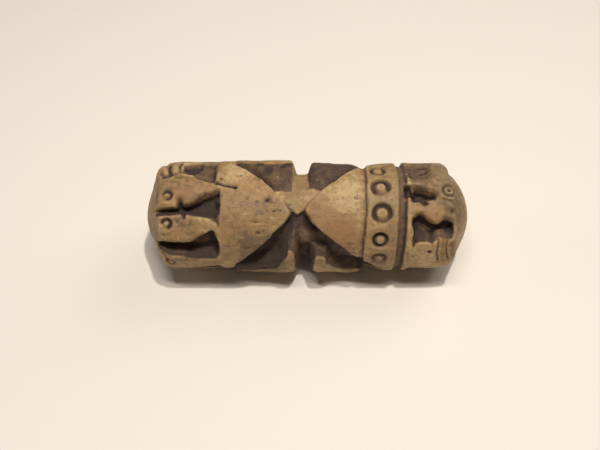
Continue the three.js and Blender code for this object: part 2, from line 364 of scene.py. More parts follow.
@dataclass(frozen=True)
class Carving:
    """Everything that is carved, pressed or worn into the seal, as shapes on the unrolled surface.

    Attributes:
        left_ring: Where the left bells' ring starts and ends along the axis. The right ring follows it.
        narrow_band: The start and width of the groove across the right bells.
        wide_band: The middle and half width of the groove at their bases.
        wear: The x, width and depth of each place that is worn flatter behind the top.
        wear_turn: The turn at which it is worn most.
        plain_left_turns: Where the left ring's hollows that aren't drawn singly go, and so for the right.
    """

    bells: tuple[Bell, ...] = (
        Bell(tip=-4.1, base=-21.6, middle=3.0, tip_turn=4.5, spread=4.4),
        Bell(tip=-0.6, base=22.4, middle=5.0, tip_turn=5.5, spread=3.85),
    )
    left_ring: tuple[float, float] = (-35.5, -17.5)
    right_ring: tuple[float, float] = (18.0, 35.1)
    narrow_band: tuple[float, float] = (12.3, 1.85)
    wide_band: tuple[float, float] = (22.4, 1.3)
    wear: tuple[tuple[float, float, float], ...] = ((18, 7, 0.65), (30, 5, 0.33), (13, 3.5, 0.6))
    wear_turn: float = 98.0
    wedges: tuple[Wedge, ...] = (
        Wedge(
            Outline(
                ((-18, 86), (-14, 72), (-11.5, 64), (-9, 46), (-7, 33), (-3.8, 31)),
                ((-18, 98), (-12, 108), (-8, 118), (-3.8, 128)),
            ),
            ((31, 10.2), (40, 10.6), (55, 11.7), (68, 13.1), (77, 13.85), (128, 13.8)),
        ),
        Wedge(
            Outline(
                ((1.3, 38), (4, 36), (6.2, 49), (8, 60), (11, 76), (14.5, 86)),
                ((1.3, 130), (6, 118), (10, 106), (14.5, 98)),
            ),
            ((36, 10.3), (46, 10.9), (60, 12.0), (72, 12.9), (80, 13.15), (130, 13.3)),
        ),
        Wedge(
            Outline(
                ((-18, -98), (-9.9, -108), (-6.6, -120), (-3.1, -134)),
                (
                    (-18, -78), (-14, -67), (-11.4, -63), (-8.6, -57), (-6.5, -49), (-5.4, -37.5),
                    (-4.1, -26), (-3.2, -16),
                ),
            ),
            (
                (-134, 13.5), (-112, 14.2), (-86, 14.2), (-74, 13.8), (-46, 13.8), (-37, 13.2), (-26, 11.8),
                (-16, 10.2),
            ),
        ),
        Wedge(
            Outline(
                ((1.7, -140), (5.5, -122), (9.4, -106), (13.5, -99)),
                ((1.8, -42), (3.6, -46), (4.6, -61), (7.2, -77), (9.6, -87), (13.5, -95)),
            ),
            ((-140, 13.5), (-112, 14.2), (-86, 14.2), (-74, 13.75), (-52, 13.75), (-46, 13.2), (-40, 12.0)),
        ),
    )
    left_hollows: tuple[Outline, ...] = (
        Outline(
            ((-38, 1.5), (-29.6, 2), (-29.2, -3), (-28.7, 1.5), (-26, 0.5), (-20.9, 0)),
            (
                (-38, 9), (-35, 6.8), (-30.9, 7.7), (-30.6, 17.5), (-30, 18.2), (-29.2, 10), (-27.8, 11.1),
                (-26, 16.3), (-25.2, 20.2), (-23.7, 23), (-21.6, 27), (-20.9, 23.5),
            ),
        ),
        Outline(
            ((-38, -36), (-34.8, -39.7), (-33.6, -44.4), (-29.6, -46.1), (-27.3, -49.7), (-21.5, -49.7)),
            (
                (-38, -32), (-35.1, -31.2), (-28, -30.6), (-26.6, -26.7), (-24.7, -20.6), (-22.7, -16),
                (-21.9, -17.5), (-21.2, -30), (-21, -40),
            ),
        ),
    )
    right_hollows: tuple[Outline, ...] = (
        Outline(
            ((24.8, 15), (26.7, 15), (28.8, 17), (30.5, 17)),
            ((24.7, 31.3), (27.5, 29), (28.8, 24), (30.6, 22)),
        ),
        Outline(
            (
                (24.7, -8), (25.2, -35.2), (25.8, -27.6), (28.4, -26.2), (29.2, -29.1), (30.1, -26.9),
                (31.2, -22), (33.6, -24.1), (34.7, -22.7),
            ),
            (
                (24.9, -3.5), (25.7, -1), (26.6, 1), (27.5, -1.2), (29.8, -9.2), (30.7, -10), (32.2, -3.5),
                (33.3, -5), (34.3, -7.5), (34.8, -12),
            ),
        ),
    )
    shelves: tuple[Shelf, ...] = (
        Shelf(
            Outline(((-27.4, 0), (-23.6, -5.3), (-21.4, -11), (-20.9, -12.3)), ((-27.4, 4), (-20.9, 4))),
            2.3, 1.7,
        ),
        Shelf(
            Outline(
                ((-30.4, 47), (-27.5, 43.5), (-24.5, 38), (-21.6, 34)),
                ((-30.4, 62), (-28, 72), (-24, 76), (-21.6, 74)),
            ),
            1.25, 0.9, 0.3,
        ),
        Shelf(
            Outline(((-30.6, 66), (-27.8, 47.5), (-25.4, 64)), ((-30.6, 70), (-27.7, 76), (-25.4, 80))),
            2.4, 0.8,
        ),
        Shelf(Outline(((22.8, 19), (24.8, 17)), ((22.8, 34), (24.8, 32.5))), 2.4, 0.5),
        Shelf(
            Outline(
                ((-19, -92), (-12, -84), (-7.2, -76), (-5.9, -62), (-4.4, -44)),
                ((-19, -72), (-14, -55), (-11.4, -44), (-8.6, -34), (-6.5, -31), (-4.6, -31)),
            ),
            1.3, 1.0, 0.2,
        ),
        Shelf(
            Outline(
                ((22.9, 44), (24, 38), (25.5, 36.5), (27.1, 38), (29.6, 37)),
                ((22.9, 68), (25, 74), (28, 73), (30.4, 68)),
            ),
            1.2, 1.8, 0.6,
        ),
    )
    plain_left_turns: tuple[float, ...] = (-82, -128, -172, 142, 100)
    plain_right_turns: tuple[float, ...] = (-86, -130, -172, 144, 98)
    plain_left: Outline = Outline(
        ((-38, -5), (-31.5, -5), (-30.3, -10), (-28.8, -5), (-26, -8), (-21.2, -15)),
        ((-38, 5), (-30, 5), (-26, 7), (-21.2, 15)),
    )
    plain_right: Outline = Outline(
        ((25, -12), (28.5, -11), (30.5, -8), (34.6, -9)),
        ((25, 10), (27.5, 10), (30, 6), (32.5, 9), (34.6, 5)),
    )
    dots: tuple[ReedMark, ...] = many(
        ReedMark,
        (16.9, 54.6, 2.2, 0.9, 0.8, -80, 0.35), (17.3, 29.5, 2.6, 0.95, 1.05, -75, 0.5),
        (17.5, 1.3, 2.7, 1.15, 1.05, -80, 0.5), (17.2, -26.8, 2.2, 0.85, 0.95, -70, 0.3),
        (17.2, -51.5, 2.1, 0.9, 0.6, -90, 0.8),
    )
    eyes: tuple[ReedMark, ...] = many(
        ReedMark,
        (-33.3, 21.1, 1.6, 0.5, 0.85, 215, 0.6), (-33.3, -9.4, 1.6, 0.45, 0.9, 235, 0.7),
        (-33.3, -60, 1.4, 0.6, 0.5), (-33.3, -105), (-33.2, -150), (-33.3, 165), (-33.3, 121),
        (33.5, 26.8, 1.9, 1.05, 0.65), (33.2, -108), (33.3, -151), (33.3, 166), (33.2, 121),
    )
    lines: tuple[IncisedLine, ...] = many(
        IncisedLine,
        (((-21.6, 36), (-20.4, 32.5), (-18.6, 30.5), (-17, 28.8)), 0.6, 0.8),
        (((-21, 26), (-21, 2), (-21, -12)), 0.5, 0.6),
        (((-20.6, 18), (-18.5, 18.6), (-16.8, 18)), 0.35, 0.25),
        (((-31.8, 45), (-30.6, 42.5), (-27.5, 43.5), (-24.2, 38.5), (-21.5, 34)), 0.55, 0.6),
        (((-29.2, 2), (-29.1, -4)), 0.45, 0.6), (((-34.9, -45), (-34.2, -52), (-33.6, -60)), 0.55, 0.6),
        (((-33.9, 74), (-33.6, 60), (-33, 50)), 0.85, 1.1),
        (((-31, 76), (-31.2, 64), (-30.6, 52)), 0.7, 0.8),
        (((-35.6, 54), (-34.6, 48), (-33.2, 46.5)), 0.8, 0.9),
        (((31.1, 16.8), (32.6, 15.2), (34.2, 15.5)), 0.5, 0.45),
        (((33.8, 14), (35, 10), (36, 6.5), (36.6, 4)), 0.5, 0.4),
        (((23.9, -42), (24.1, -54)), 0.55, 0.45), (((24.6, -46), (24.8, -53)), 0.4, 0.3),
        (((31.1, -27), (30.9, -42), (31.5, -56)), 0.5, 0.65),
        (((32.1, -27), (32, -42), (32.7, -56)), 0.45, 0.5),
        (((33.1, -28), (33.1, -42), (33.9, -54)), 0.45, 0.6),
        (((34.1, -31), (34.3, -42), (34.9, -52)), 0.4, 0.45),
        (((23.1, 36), (24.9, 33), (27.3, 34.2), (28.9, 29.5), (30.9, 26)), 0.9, -0.3),
        (((30.4, 30), (30.2, 48), (30.4, 62)), 1.2, -0.3),
        (((-29.8, 45.5), (-28, 46), (-26.5, 52)), 0.8, -0.35),
    )
    pits: tuple[Pit, ...] = many(
        Pit,
        (-9.5, 15, 0.5, 0.6, 1.2), (-4.2, 13.5, 0.45, 0.6), (-12.6, 41, 0.6, 0.35, 1.4),
        (-11.8, 38.5, 0.45, 0.3), (-16, 45, 0.4, 0.4), (-17.2, 30, 0.4, 0.3),
        (-7.9, 3.5, 0.35, 0.35, 2.2), (-8, -1, 0.4, 0.3), (-12.1, -7.3, 0.3, 0.3, 3.4),
        (-7.7, -10, 0.4, 0.25), (-11.7, -18.5, 0.55, 0.4), (-18.6, -29, 0.35, 0.4, 0.5),
        (-14.4, -36, 0.3, 0.3, 2.6), (-14.2, 17, 0.4, 0.25), (-20.6, 41, 0.5, 0.5),
        (-30.6, -6.8, 0.42, 0.4), (-34.2, -22, 0.4, 0.35), (-34.4, 46, 0.6, 0.6),
        (-31.9, 50, 0.7, 0.5, 1.2), (-35.2, 61, 1.2, -0.55), (-32.4, 62, 0.9, -0.5),
        (-28.9, 62, 0.6, 0.8), (-6, 67, 0.5, 0.7), (-9.6, 62, 1.1, 0.4), (-6.4, 58, 1.2, -0.7),
        (-4.8, 72, 0.9, 0.4), (-11.4, 73, 0.9, 0.35), (-8.4, 74, 1.2, -0.5), (-7.6, 74, 0.35, 0.4),
        (0.3, -2.4, 0.35, 0.35), (4.3, 14.5, 0.5, 0.25), (11.6, 17, 0.4, 0.35),
        (27.8, 11.3, 0.42, 0.65, 1.9), (29.2, -42, 0.5, 0.5), (34.2, 3.8, 0.7, 0.75),
        (33.5, 26.8, 0.4, 0.75), (26.6, 9, 0.6, 0.25, 2), (26.4, 46, 0.9, -0.35, 1.3),
        (27.3, 53, 0.5, 0.6), (27.2, 42, 0.4, 0.5), (24, 66, 0.5, 0.6), (-18.5, -90, 3.2, 0.6),
        (-4.6, -42, 0.6, -0.25), (-4.4, -50, 0.5, -0.2),
    )
    # Wedge walls and slopes darkened with earth staining and painted shade.
    stains_and_shade: tuple[StainAndShade, ...] = (
        StainAndShade(
            Outline(
                ((-18, 80), (-12, 52), (-8, 33), (-3.4, 31)),
                ((-18, 84), (-12, 82), (-8, 79), (-3.4, 76)),
            ),
            0.62,
        ),
        StainAndShade(Outline(((0, 38), (4, 33), (8, 55), (14, 80)), ((0, 76), (4, 82), (8, 84), (14, 86))), 0.66),
        StainAndShade(
            Outline(
                ((-19, -96), (-12, -88), (-7, -79), (-5.8, -62), (-3, -32)),
                ((-19, -66), (-9, -30), (-3, -10)),
            ),
            0.74,
        ),
        StainAndShade(
            Outline(((0.2, -48), (4, -50), (8, -84), (14, -99)), ((0.2, -10), (4, -25), (8, -50), (14, -80))),
            0.7,
        ),
    )
    patches: tuple[Patch, ...] = (
        *many(
            partial(Patch, Tone.EARTH),
            # Less earth at (-28.5, -38) and (30, -17) makes two window floors paler: painted light in their
            # shade.
            (-23, -3, 3, 1.8, -0.6), (-24, 58, 3, 6, -0.4), (-27.9, 61, 1.7, 3.6, 0.85),
            (-28.5, -38, 7, 2.2, -0.5), (-32, 5, 4, 2, 0.2), (30, -17, 5, 2.8, -0.58),
            (27, 55, 5, 6, -0.2), (-10, 60, 5, 6, -0.12), (-14, -54, 4, 3, -0.15),
            (6.5, 121, 7, 4.2, -0.8), (-1, -32, 2.5, 2.5, -0.16),
        ),
        *many(
            partial(Patch, Tone.PALENESS),
            (17.2, -53, 2, 2, -0.5), (-16, -46, 6, 4, -0.45), (-16, 52, 6, 5, 0.45),
            (-9, 24, 3.5, 3, 0.2), (-13, 5, 5, 4, -0.2), (-23.8, 58, 2.6, 5, -1), (26.8, 58, 5, 7, -1.3),
            (33.5, 30, 3, 9, -0.55), (35.5, -5, 4, 8, -0.4), (-12, -28, 6, 4.5, -0.28),
            (7.5, 24, 4.5, 5, 0.4), (11, 34, 2.5, 4.5, 0.25), (17, 20, 3.5, 5, 0.3),
            (24.3, -15, 1, 7, 0.25), (31, -50, 5, 4, 0.4), (-31, -62, 5, 3, 0.35), (-31, 10, 5, 8, -0.35),
            (-33, 66, 4, 4.5, 0.3), (-6, 84, 5, 2.2, 0.45), (2.5, 86, 3, 2.2, 0.3), (29.5, 84, 5, 3, 0.3),
            (-9, -75, 5, 5, -0.6), (-4.5, -48, 1.5, 3, 0.25), (5, -62, 5, 5, -0.25),
        ),
        *many(
            partial(Patch, Tone.WARMTH),
            (8, -14, 5, 4.5, 0.6), (30, 4, 4, 3, 0.55), (-31, -17, 5, 3, 0.4), (-17, -26, 5, 4, 0.3),
            (12, -6, 5, 3, 0.3), (29, -55, 5, 4, 0.4), (-28, 26, 4, 3, 0.35), (33, 30, 3, 6, -0.7),
            (-34, 62, 3, 5, -0.6), (17, -10, 3, 12, -0.4), (-2, 50, 3, 10, -0.5), (30, 60, 5, 5, -0.5),
        ),
    )


# ---------------------------------------------------------------- the unrolled plan


@dataclass
class Plan:
    """Maps of the carving over the unrolled surface, from which the solid's field is read.

    Attributes:
        step: The maps' spacing, in millimetres along the axis and round the surface.
        reach: How far from an outline its distance is worked out, in millimetres.
    """

    carving: Carving
    step: float = 0.12
    reach: float = 4.0
    half_length: float = 42.0
    maps: dict[str, Array] = field(default_factory=dict)

    def __post_init__(self) -> None:
        """Lays out the grid and draws every map."""
        self.columns = int(round(2 * self.half_length / self.step)) + 1
        self.rows = int(round(360 * ARC_PER_TURN / self.step))
        xs = np.linspace(-self.half_length, self.half_length, self.columns)
        turns = np.arange(self.rows) * 360 / self.rows
        self.x, self.turn = np.meshgrid(xs, turns, indexing="ij")
        self.signed = turn_from(self.turn)
        angle = np.radians(self.turn)
        self.space = np.stack([self.x, CARVED_RADIUS * np.cos(angle), CARVED_RADIUS * np.sin(angle)], axis=-1)
        self._draw_edges()
        self._draw_heights()
        self._draw_tones()

    def noise(self, scale: float, seed: int, along: float = 1.0) -> Array:
        """Noise over the whole surface, drawn out along the axis by a factor."""
        return lattice_noise(self.space / np.array([along, 1.0, 1.0]), scale, seed)

    def away(self, x: float, turn: float) -> tuple[Array, Array]:
        """How far each place is from a point, along the axis and round the surface, in millimetres."""
        return self.x - x, turn_from(self.turn, turn) * ARC_PER_TURN

    def distance(self, shape: Outline | tuple[Corner, ...]) -> Array:
        """Distance over the unrolled surface to an outline, negative inside it, or to an open path.

        Args:
            shape: An outline, or a path's points. Beyond the plan's reach the distance is the reach.

        Returns:
            Millimetres, as a map.
        """
        closed = isinstance(shape, Outline)
        corners = shape.corners() if closed else np.array(shape, float)
        middle = (corners[:, 1].min() + corners[:, 1].max()) / 2
        points = np.stack([corners[:, 0], (corners[:, 1] - middle) * ARC_PER_TURN], axis=1)
        dx, dy = self.away(0.0, middle)
        low, high = points.min(0) - self.reach, points.max(0) + self.reach
        near = (dx >= low[0]) & (dx <= high[0]) & (dy >= low[1]) & (dy <= high[1])
        px, py = dx[near], dy[near]
        closest = np.full(px.shape, self.reach**2)
        inside = np.zeros(px.shape, bool)
        starts = points if closed else points[:-1]
        for (ax, ay), (bx, by) in zip(starts, np.roll(points, -1, axis=0)):
            ex, ey = bx - ax, by - ay
            share = np.clip(((px - ax) * ex + (py - ay) * ey) / max(ex * ex + ey * ey, 1e-12), 0, 1)
            closest = np.minimum(closest, (px - ax - share * ex) ** 2 + (py - ay - share * ey) ** 2)
            if closed and ay != by:
                inside ^= ((ay > py) != (by > py)) & (px < ex * (py - ay) / ey + ax)
        result = np.full(self.x.shape, self.reach)
        result[near] = np.where(inside, -np.sqrt(closest), np.sqrt(closest))
        return result

    def _draw_edges(self) -> None:
        """Draws the distances to the edges of the bells and heads, and of the wedges."""
        carving = self.carving
        ragged = 0.19 * self.noise(2.2, 11) + 0.1 * self.noise(0.9, 12)
        end_wave = 0.45 * self.noise(7.0, 13) + 0.2 * self.noise(2.5, 14)
        left_lump = 1.3 * falloff(self.turn - 60, 13)
        left = np.maximum(carving.left_ring[0] - left_lump - self.x + end_wave, self.x - carving.left_ring[1])
        upper_wear = 1.3 * falloff(self.turn - 62, 26) - 0.5 * falloff(turn_from(self.turn, -48), 26)
        right_end = self.x - carving.right_ring[1] + end_wave + upper_wear
        right = np.maximum(carving.right_ring[0] - self.x, right_end)
        edge = np.minimum(left, right)
        for bell in carving.bells:
            for side in (0.0, MIRROR_TURN):
                edge = np.minimum(edge, self.distance(bell.outline(side)))
        for hollow in self._hollows():
            edge = np.maximum(edge, -self.distance(hollow))
        on_heads = smooth_step(np.abs(self.x), 20.5, 25.5)
        self.maps["edge"] = edge + ragged + 0.12 + 0.16 * on_heads
        wedge_edge = np.full(self.x.shape, self.reach)
        wedge_top = np.full(self.x.shape, CARVED_RADIUS)
        for wedge in carving.wedges:
            away = self.distance(wedge.outline)
            turns, radii = zip(*wedge.ramp)
            closer = away < wedge_edge
            wedge_top = np.where(closer, np.interp(self.signed, turns, radii), wedge_top)
            wedge_edge = np.minimum(wedge_edge, away)
        self.maps["wedge_edge"] = wedge_edge + ragged * 1.4
        self.maps["wedge_top"] = wedge_top

    def _hollows(self) -> list[Outline]:
        """Every hollow that is sunk to the core, seen and unseen.

        Returns:
            Their outlines.
        """
        carving = self.carving
        left = map(carving.plain_left.moved, carving.plain_left_turns)
        right = map(carving.plain_right.moved, carving.plain_right_turns)
        return [*carving.left_hollows, *carving.right_hollows, *left, *right]

    def _pressed(self, mark: ReedMark) -> Array:
        """How far a reed mark sinks the surface, as a map.

        Args:
            mark: The mark.

        Returns:
            Millimetres, over the whole plan.
        """
        dx, dy = self.away(mark.x, mark.turn)
        away = np.hypot(dx, dy)
        middle = (mark.outer + mark.boss) / 2
        half = (mark.outer - mark.boss) / 2
        groove = np.clip(1 - np.abs((away - middle) / half) ** 2.2, 0, 1)
        if mark.gap is not None:
            facing = np.cos(np.arctan2(dy, dx) - math.radians(mark.gap))
            groove *= 1 - mark.fade * smooth_step(facing, 0.3, 0.95)
        boss = np.clip(away / mark.boss, 0, 1)
        return mark.depth * groove + 0.1 * (1 - smooth_step(away, mark.outer, mark.outer + 0.35)) * boss**2

    def _bands(self) -> Array:
        """How far the ring grooves round the right bells sink the surface, as a map.

        Returns:
            Millimetres, over the whole plan.
        """
        front = np.cos(np.radians(self.turn)).clip(0, 1)
        low = np.clip(-self.signed, 0, 70) * front
        wobble = 0.1 * self.noise(6.0, 21)
        start, width = self.carving.narrow_band
        first = (self.x - start - wobble + 0.01 * low) / (width - 0.012 * low)
        slope = np.clip(first, 0, 1) * (first < 1.0)
        narrow = 0.34 * smooth_step(first, 0.0, 0.25) * (first < 1.0) + 0.42 * slope**1.5
        at, half = self.carving.wide_band
        middle = self.x - at - 0.008 * self.signed * front - wobble
        wide = smooth_step(half - np.abs(middle), 0, 0.5) * (0.95 + 0.25 * np.clip(middle, -1, 1))
        return narrow + wide

    def _draw_heights(self) -> None:
        """Draws the radius of the carved surface and of the hollows' floors, and how soft the edges are."""
        carving = self.carving
        on_heads = smooth_step(-self.x, 21.2, 21.6) + smooth_step(self.x, 24.2, 25.2)
        toe = smooth_step(np.abs(self.x), 30.5, 36.0)
        top = CARVED_RADIUS + 0.05 - (CARVED_RADIUS - HEAD_RADIUS) * on_heads - 0.45 * toe
        worn = sum(depth * falloff(self.x - x, width) for x, width, depth in carving.wear)
        worn *= falloff(self.turn - carving.wear_turn, 30)
        top -= worn
        top += 0.13 * self.noise(9.0, 31) + 0.05 * self.noise(3.0, 32) + 0.02 * self.noise(1.1, 33, 4.0)
        sunk = self._bands()
        behind = (replace(dot, turn=dot.turn + MIRROR_TURN) for dot in carving.dots)
        for mark in (*carving.dots, *behind, *carving.eyes):
            sunk = np.maximum(sunk, self._pressed(mark))
        ragged = 0.2 * self.noise(1.6, 34)
        for shelf in carving.shelves:
            share = smooth_step(ragged - self.distance(shelf.outline), 0, shelf.run)
            sunk += share * (shelf.depth + shelf.rough * self.noise(1.3, 37))
        for line in carving.lines:
            sunk += line.depth * falloff(self.distance(line.path), 0.7 * line.width)
        for pit in carving.pits:
            dx, dy = self.away(pit.x, pit.turn)
            depth = 1.5 * pit.depth if pit.depth > 0 else pit.depth
            sunk += depth * np.exp(-((dx / pit.stretch) ** 2 + dy**2) / (1.1 * pit.radius) ** 2)
        self.maps["sunk"] = sunk
        self.maps["top"] = top - sunk
        self.maps["wedge_top"] += 0.22 * self.noise(3.4, 35) + 0.14 * self.noise(1.4, 36) - sunk * 0.5 - worn
        rough = 0.16 * self.noise(2.6, 41) + 0.09 * self.noise(1.2, 42)
        self.maps["floor"] = CORE_RADIUS + rough + self._waist_cuts() - 0.25 * on_heads
        self.maps["softness"] = 0.8 + 0.3 * on_heads + 0.35 * self.noise(5.0, 43) + 0.6 * toe
        self.maps["lean"] = 0.14 + 0.16 * on_heads

    def _waist_cuts(self) -> Array:
        """How the knife-cut floor of the waist rises and falls round the front, in millimetres.

        Returns:
            A map that is 0 away from the waist.
        """
        turns = [-95, -60, -46, -42, -24, -19, -2, 2, 40, 90, 130]
        rises = [0, -0.8, -0.7, -0.25, -0.3, -0.9, -1, 0.35, 0.3, 0.3, 0]
        slanted = self.signed - WAIST_SLANT * np.abs(self.x + 2.4) * (self.signed > -8)
        near = 1 - smooth_step(np.abs(self.x + 1.2), 2.6, 4.5)
        return np.interp(slanted, turns, rises) * near

    def _draw_tones(self) -> None:
        """Draws how much earth the hollows hold, and how warm and how pale the clay is."""
        heads = np.clip(smooth_step(-self.x, 20.5, 21.5) + smooth_step(self.x, 23.6, 24.6), 0, 1)
        half_width = 1.75 + 6 * smooth_step(-self.signed, -40, -32)
        waist = 1 - smooth_step(np.abs(self.x + 1.75), half_width, half_width + 0.5)
        slanted = self.signed - WAIST_SLANT * np.abs(self.x + 2.4)
        upper = smooth_step(slanted, -2, 4) * smooth_step(-self.signed, -110, -80)
        self.maps[Tone.EARTH.value] = 0.72 + 0.28 * heads - 0.6 * waist * upper
        # Where wedge slopes are darkened with earth staining and painted shade.
        self.maps["stain_and_shade"] = np.zeros(self.x.shape)
        for stain_and_shade in self.carving.stains_and_shade:
            share = smooth_step(0.2 * self.noise(1.5, 51) - self.distance(stain_and_shade.outline), 0, stain_and_shade.run)
            self.maps["stain_and_shade"] = np.maximum(self.maps["stain_and_shade"], stain_and_shade.amount * share)
        self.maps[Tone.WARMTH.value] = np.zeros(self.x.shape)
        self.maps[Tone.PALENESS.value] = np.zeros(self.x.shape)
        for patch in self.carving.patches:
            dx, dy = self.away(patch.x, patch.turn)
            blur = np.exp(-((dx / patch.along) ** 2) - (dy / patch.around) ** 2)
            self.maps[patch.tone.value] += patch.amount * blur

    def read(self, name: str, x: Array, turn: Array) -> Array:
        """One map's value at any places, blended between its cells.

        Args:
            name: The map's name.
            x: Places along the axis, in millimetres.
            turn: Turns, in degrees.

        Returns:
            The map's value at each place.
        """
        drawn = self.maps[name]
        last = self.columns - 1
        u = np.clip((x + self.half_length) / (2 * self.half_length) * last, 0, last - 0.001)
        v = (turn % 360) * self.rows / 360
        i, j = u.astype(int), np.floor(v).astype(int)
        fu, fv = u - i, v - j
        j, k = j % self.rows, (j + 1) % self.rows
        near = drawn[i, j] * (1 - fv) + drawn[i, k] * fv
        far = drawn[i + 1, j] * (1 - fv) + drawn[i + 1, k] * fv
        return near * (1 - fu) + far * fu


# ---------------------------------------------------------------- from a field to a mesh


@dataclass
class Net:
    """Turns a field of signed distances into a closed mesh of quads, one vertex to each crossed cell.

    Attributes:
        low: Lowest corner of the space that is meshed.
        high: Its highest corner.
        cell: The size of a cell.
    """

    low: Array
    high: Array
    cell: float

    def lattice(self) -> tuple[Array, tuple[int, int, int]]:
        """Every lattice point, as rows of x, y and z, and the lattice's three counts.

        Returns:
            The points, and the counts along x, y and z.
        """
        counts = tuple(int(n) for n in np.ceil((self.high - self.low) / self.cell) + 1)
        axes = [self.low[a] + self.cell * np.arange(counts[a]) for a in range(3)]
        grid = np.stack(np.meshgrid(*axes, indexing="ij"), axis=-1)
        return grid.reshape(-1, 3), counts

    def cast(self, values: Array) -> tuple[Array, Array]:
        """Meshes the surface where the values change sign.

        Args:
            values: The field on the lattice, as a 3-D array.

        Returns:
            The vertices, and the quads as rows of four vertex numbers that face outwards.
        """
        inside = values < 0
        counts = np.array(values.shape) - 1
        corner_cut = {
            c: tuple(slice(c[a], c[a] + counts[a]) for a in range(3)) for c in product((0, 1), repeat=3)
        }
        full = sum(inside[cut].astype(np.int8) for cut in corner_cut.values())
        active = (full > 0) & (full < 8)
        number = np.full(active.shape, -1, np.int64)
        number[active] = np.arange(int(active.sum()))
        total = np.zeros((int(active.sum()), 3))
        crossings = np.zeros(int(active.sum()))
        for axis in range(3):
            for start in (c for c in corner_cut if c[axis] == 0):
                end = tuple(1 if a == axis else start[a] for a in range(3))
                first, second = values[corner_cut[start]][active], values[corner_cut[end]][active]
                crossed = (first < 0) != (second < 0)
                share = np.where(crossed, first / np.where(crossed, first - second, 1), 0)
                point = np.array(start, float) + share[:, None] * np.eye(3)[axis]
                total += np.where(crossed[:, None], point, 0)
                crossings += crossed
        base = np.argwhere(active)
        vertices = self.low + self.cell * (base + total / crossings[:, None])
        return vertices, self._quads(inside, number)

    @staticmethod
    def _quads(inside: Array, number: Array) -> Array:
        """A quad round each lattice edge that the surface crosses.

        Args:
            inside: Whether each lattice point is in the clay.
            number: The number of the vertex in each cell.

        Returns:
            Rows of four vertex numbers.
        """
        quads = []
        steps = np.eye(3, dtype=int)
        for axis in range(3):
            b, c = steps[(axis + 1) % 3], steps[(axis + 2) % 3]
            lower = [slice(1, -1)] * 3
            upper = [slice(1, -1)] * 3
            lower[axis], upper[axis] = slice(0, -1), slice(1, None)
            start, end = inside[tuple(lower)], inside[tuple(upper)]
            for flag, ring in ((start & ~end, (0 * b, b, b + c, c)), (~start & end, (c, b + c, b, 0 * b))):
                places = np.argwhere(flag)
                quads.append(np.stack([number[tuple((places + step).T)] for step in ring], axis=1))
        return np.concatenate(quads)


# ---------------------------------------------------------------- the seal's body


